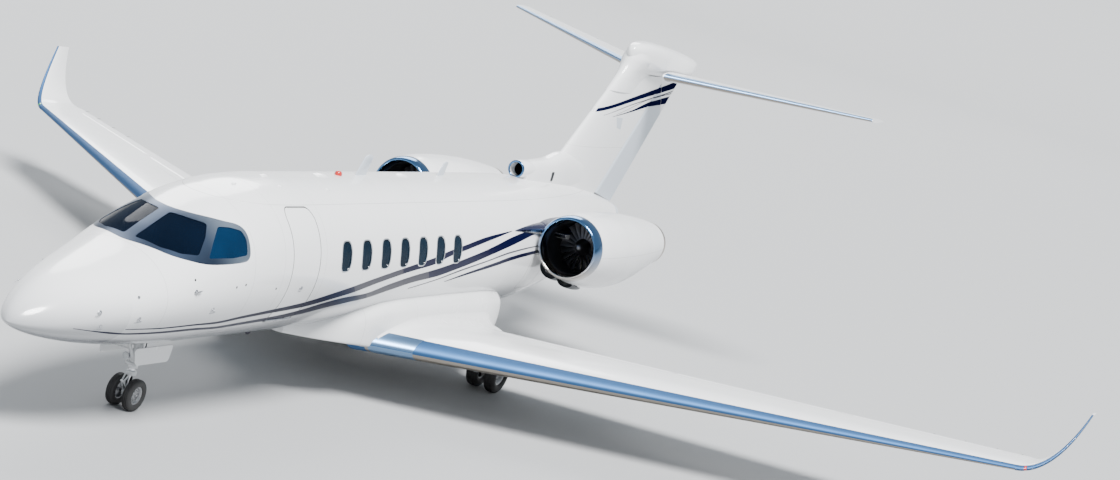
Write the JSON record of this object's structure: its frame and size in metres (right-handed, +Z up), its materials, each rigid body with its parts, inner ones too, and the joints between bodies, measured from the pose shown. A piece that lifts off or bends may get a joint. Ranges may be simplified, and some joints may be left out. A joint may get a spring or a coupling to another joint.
{
  "type": "business jet",
  "caption": "Business jet with swept wings, winglets, T-tail, rear-mounted engines, airstair door and landing gear down.",
  "frame": {"origin": "on the ground under the centre of the overall box", "axes": "+Z up; the nose points to -Y and the tail to +Y; +X to the port side"},
  "size_m": [21.0406, 22.24, 5.92],
  "materials": {
    "white_paint": "gloss",
    "polished_metal": "polished",
    "window_glass": "clear, dark",
    "interior_trim": "matt",
    "engine_metal": "satin",
    "fan_metal": "satin",
    "fork_metal": "satin",
    "wheel_metal": "satin",
    "leg_paint": "gloss",
    "tyre": "matt"
  },
  "bodies": {
    "airframe": {"nose_radome": "white_paint", "forward_fuselage": "white_paint", "windshield_frame": "polished_metal", "cabin_fuselage": "white_paint", "cabin_interior": "interior_trim", "aft_fuselage": "white_paint", "belly_fairing": "white_paint", "fin": "white_paint", "stabilizer_fairing": "white_paint", "nose_gear_leg": "leg_paint", "windshield_port": "window_glass", "side_window_port": "window_glass", "cabin_windows_port": "window_glass", "wing_port": "white_paint", "leading_edge_port": "polished_metal", "winglet_port": "white_paint", "inlet_lip_port": "polished_metal", "nacelle_port": "white_paint", "engine_core_port": "engine_metal", "pylon_port": "white_paint", "main_gear_leg_port": "leg_paint", "windshield_starboard": "window_glass", "side_window_starboard": "window_glass", "cabin_windows_starboard": "window_glass", "wing_starboard": "white_paint", "leading_edge_starboard": "polished_metal", "winglet_starboard": "white_paint", "inlet_lip_starboard": "polished_metal", "nacelle_starboard": "white_paint", "engine_core_starboard": "engine_metal", "pylon_starboard": "white_paint", "main_gear_leg_starboard": "leg_paint"},
    "airstair_door": {"airstair_door": "white_paint"},
    "rudder": {"rudder": "white_paint"},
    "stabilizer": {"stabilizer": "white_paint"},
    "elevator_port": {"elevator_port": "white_paint"},
    "elevator_starboard": {"elevator_starboard": "white_paint"},
    "flap_inboard_port": {"flap_inboard_port": "white_paint"},
    "flap_outboard_port": {"flap_outboard_port": "white_paint"},
    "aileron_port": {"aileron_port": "white_paint"},
    "spoiler_port": {"spoiler_port": "white_paint"},
    "fan_port": {"fan_port": "fan_metal"},
    "main_wheels_port": {"main_wheels_port": "wheel_metal", "main_tyre_port_outboard": "tyre", "main_tyre_port_inboard": "tyre"},
    "flap_inboard_starboard": {"flap_inboard_starboard": "white_paint"},
    "flap_outboard_starboard": {"flap_outboard_starboard": "white_paint"},
    "aileron_starboard": {"aileron_starboard": "white_paint"},
    "spoiler_starboard": {"spoiler_starboard": "white_paint"},
    "fan_starboard": {"fan_starboard": "fan_metal"},
    "main_wheels_starboard": {"main_wheels_starboard": "wheel_metal", "main_tyre_starboard_outboard": "tyre", "main_tyre_starboard_inboard": "tyre"},
    "nose_gear_fork": {"nose_gear_fork": "fork_metal"},
    "nose_wheels": {"nose_wheels": "wheel_metal", "nose_tyre_port": "tyre", "nose_tyre_starboard": "tyre"}
  },
  "joints": [
    {"name": "airstair_hinge", "type": "hinge", "parent": "airframe", "child": "airstair_door", "pos_m": [0.89, -6.069, 1.43], "axis": [0, 1, 0], "range_deg": [0, 135]},
    {"name": "rudder_hinge", "type": "hinge", "parent": "airframe", "child": "rudder", "pos_m": [0, 6.83488, 2.87], "axis": [0, 0.6498, 0.7601], "range_deg": [-25, 25]},
    {"name": "stabilizer_trim", "type": "hinge", "parent": "airframe", "child": "stabilizer", "pos_m": [0, 9.026, 5.372], "axis": [1, 0, 0], "range_deg": [-2, 8]},
    {"name": "elevator_hinge_port", "type": "hinge", "parent": "stabilizer", "child": "elevator_port", "pos_m": [0.8, 9.4977, 5.40001], "axis": [0.9188, 0.3873, 0.0756], "range_deg": [-15, 25]},
    {"name": "elevator_hinge_starboard", "type": "hinge", "parent": "stabilizer", "child": "elevator_starboard", "pos_m": [-0.8, 9.4977, 5.40001], "axis": [0.9188, -0.3873, -0.0756], "range_deg": [-15, 25]},
    {"name": "flap_hinge_inboard_port", "type": "hinge", "parent": "airframe", "child": "flap_inboard_port", "pos_m": [2.15, 0.16699, 0.82753], "axis": [-0.8886, -0.455, -0.0584], "range_deg": [0, 35]},
    {"name": "flap_hinge_outboard_port", "type": "hinge", "parent": "airframe", "child": "flap_outboard_port", "pos_m": [4.4, 1.31917, 0.97549], "axis": [-0.8886, -0.455, -0.0584], "range_deg": [0, 35]},
    {"name": "aileron_hinge_port", "type": "hinge", "parent": "airframe", "child": "aileron_port", "pos_m": [7.05, 2.71971, 1.32366], "axis": [0.8912, 0.451, 0.0484], "range_deg": [-20, 20]},
    {"name": "spoiler_hinge_port", "type": "hinge", "parent": "airframe", "child": "spoiler_port", "pos_m": [2.89311, -0.03714, 1.25912], "axis": [0.8702, 0.4917, 0.0317], "range_deg": [0, 50]},
    {"name": "fan_spin_port", "type": "hinge", "parent": "airframe", "child": "fan_port", "pos_m": [1.651, 2.856, 2.482], "axis": [0, 1, 0], "continuous": true},
    {"name": "main_wheels_spin_port", "type": "hinge", "parent": "airframe", "child": "main_wheels_port", "pos_m": [1.42, 0.796, 0.33], "axis": [1, 0, 0], "continuous": true},
    {"name": "flap_hinge_inboard_starboard", "type": "hinge", "parent": "airframe", "child": "flap_inboard_starboard", "pos_m": [-2.15, 0.16699, 0.82753], "axis": [-0.8886, 0.455, 0.0584], "range_deg": [0, 35]},
    {"name": "flap_hinge_outboard_starboard", "type": "hinge", "parent": "airframe", "child": "flap_outboard_starboard", "pos_m": [-4.4, 1.31917, 0.97549], "axis": [-0.8886, 0.455, 0.0584], "range_deg": [0, 35]},
    {"name": "aileron_hinge_starboard", "type": "hinge", "parent": "airframe", "child": "aileron_starboard", "pos_m": [-7.05, 2.71971, 1.32366], "axis": [0.8912, -0.451, -0.0484], "range_deg": [-20, 20]},
    {"name": "spoiler_hinge_starboard", "type": "hinge", "parent": "airframe", "child": "spoiler_starboard", "pos_m": [-2.89311, -0.03714, 1.25912], "axis": [0.8702, -0.4917, -0.0317], "range_deg": [0, 50]},
    {"name": "fan_spin_starboard", "type": "hinge", "parent": "airframe", "child": "fan_starboard", "pos_m": [-1.651, 2.856, 2.482], "axis": [0, 1, 0], "continuous": true},
    {"name": "main_wheels_spin_starboard", "type": "hinge", "parent": "airframe", "child": "main_wheels_starboard", "pos_m": [-1.42, 0.796, 0.33], "axis": [1, 0, 0], "continuous": true},
    {"name": "nose_steering", "type": "hinge", "parent": "airframe", "child": "nose_gear_fork", "pos_m": [0, -7.974, 0.22], "axis": [0, 0, 1], "range_deg": [-80, 80]},
    {"name": "nose_wheels_spin", "type": "hinge", "parent": "nose_gear_fork", "child": "nose_wheels", "pos_m": [0, -7.974, 0.22], "axis": [1, 0, 0], "continuous": true}
  ],
  "couplings": [
    {"joint": "elevator_hinge_starboard", "follows": "elevator_hinge_port", "ratio": 1},
    {"joint": "flap_hinge_outboard_port", "follows": "flap_hinge_inboard_port", "ratio": 1},
    {"joint": "flap_hinge_inboard_starboard", "follows": "flap_hinge_inboard_port", "ratio": 1},
    {"joint": "flap_hinge_outboard_starboard", "follows": "flap_hinge_inboard_port", "ratio": 1},
    {"joint": "aileron_hinge_starboard", "follows": "aileron_hinge_port", "ratio": -1},
    {"joint": "spoiler_hinge_starboard", "follows": "spoiler_hinge_port", "ratio": 1}
  ]
}
